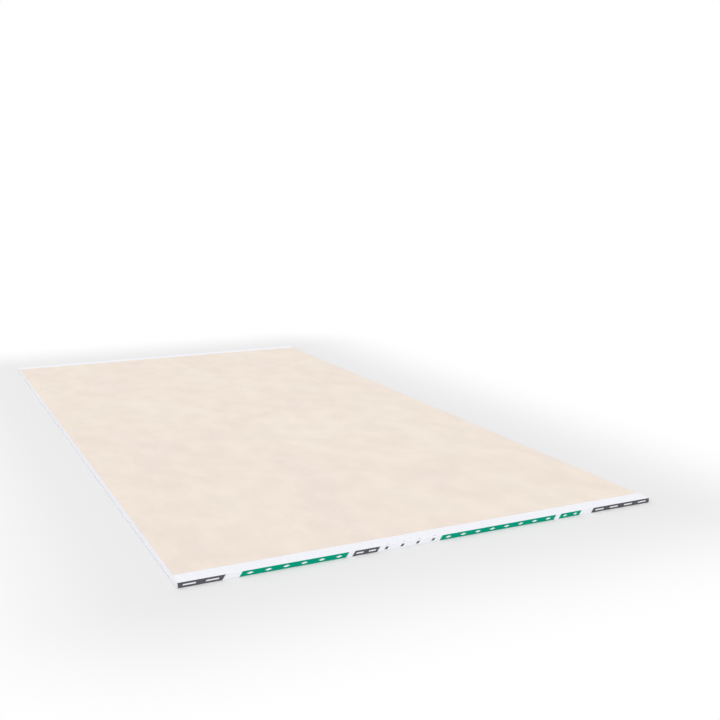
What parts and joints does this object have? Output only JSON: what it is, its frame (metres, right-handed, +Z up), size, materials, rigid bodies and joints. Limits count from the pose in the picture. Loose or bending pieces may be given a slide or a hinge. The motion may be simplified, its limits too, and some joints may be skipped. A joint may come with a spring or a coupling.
{
  "type": "drywall sheet",
  "caption": "Flat paper-faced gypsum board sheet with tapered long edges on its face and folded paper tape over its square-cut ends, for lining walls and ceilings.",
  "frame": {"origin": "on the floor, under the middle of the sheet, at the centre of its face", "axes": "+X across the sheet, +Y along it away from the near end, +Z up out of the back paper"},
  "size_m": [1.2192, 2.4388, 0.0127],
  "materials": {
    "board_paper": "matte cream back paper on a gypsum core, with white face paper wrapped round the long edges",
    "end_tape": "smooth white paper tape printed with plain slanting bands in green and charcoal"
  },
  "bodies": {
    "root": {"drywall_sheet": "board_paper", "near_end_tape": "end_tape", "far_end_tape": "end_tape"}
  },
  "joints": []
}
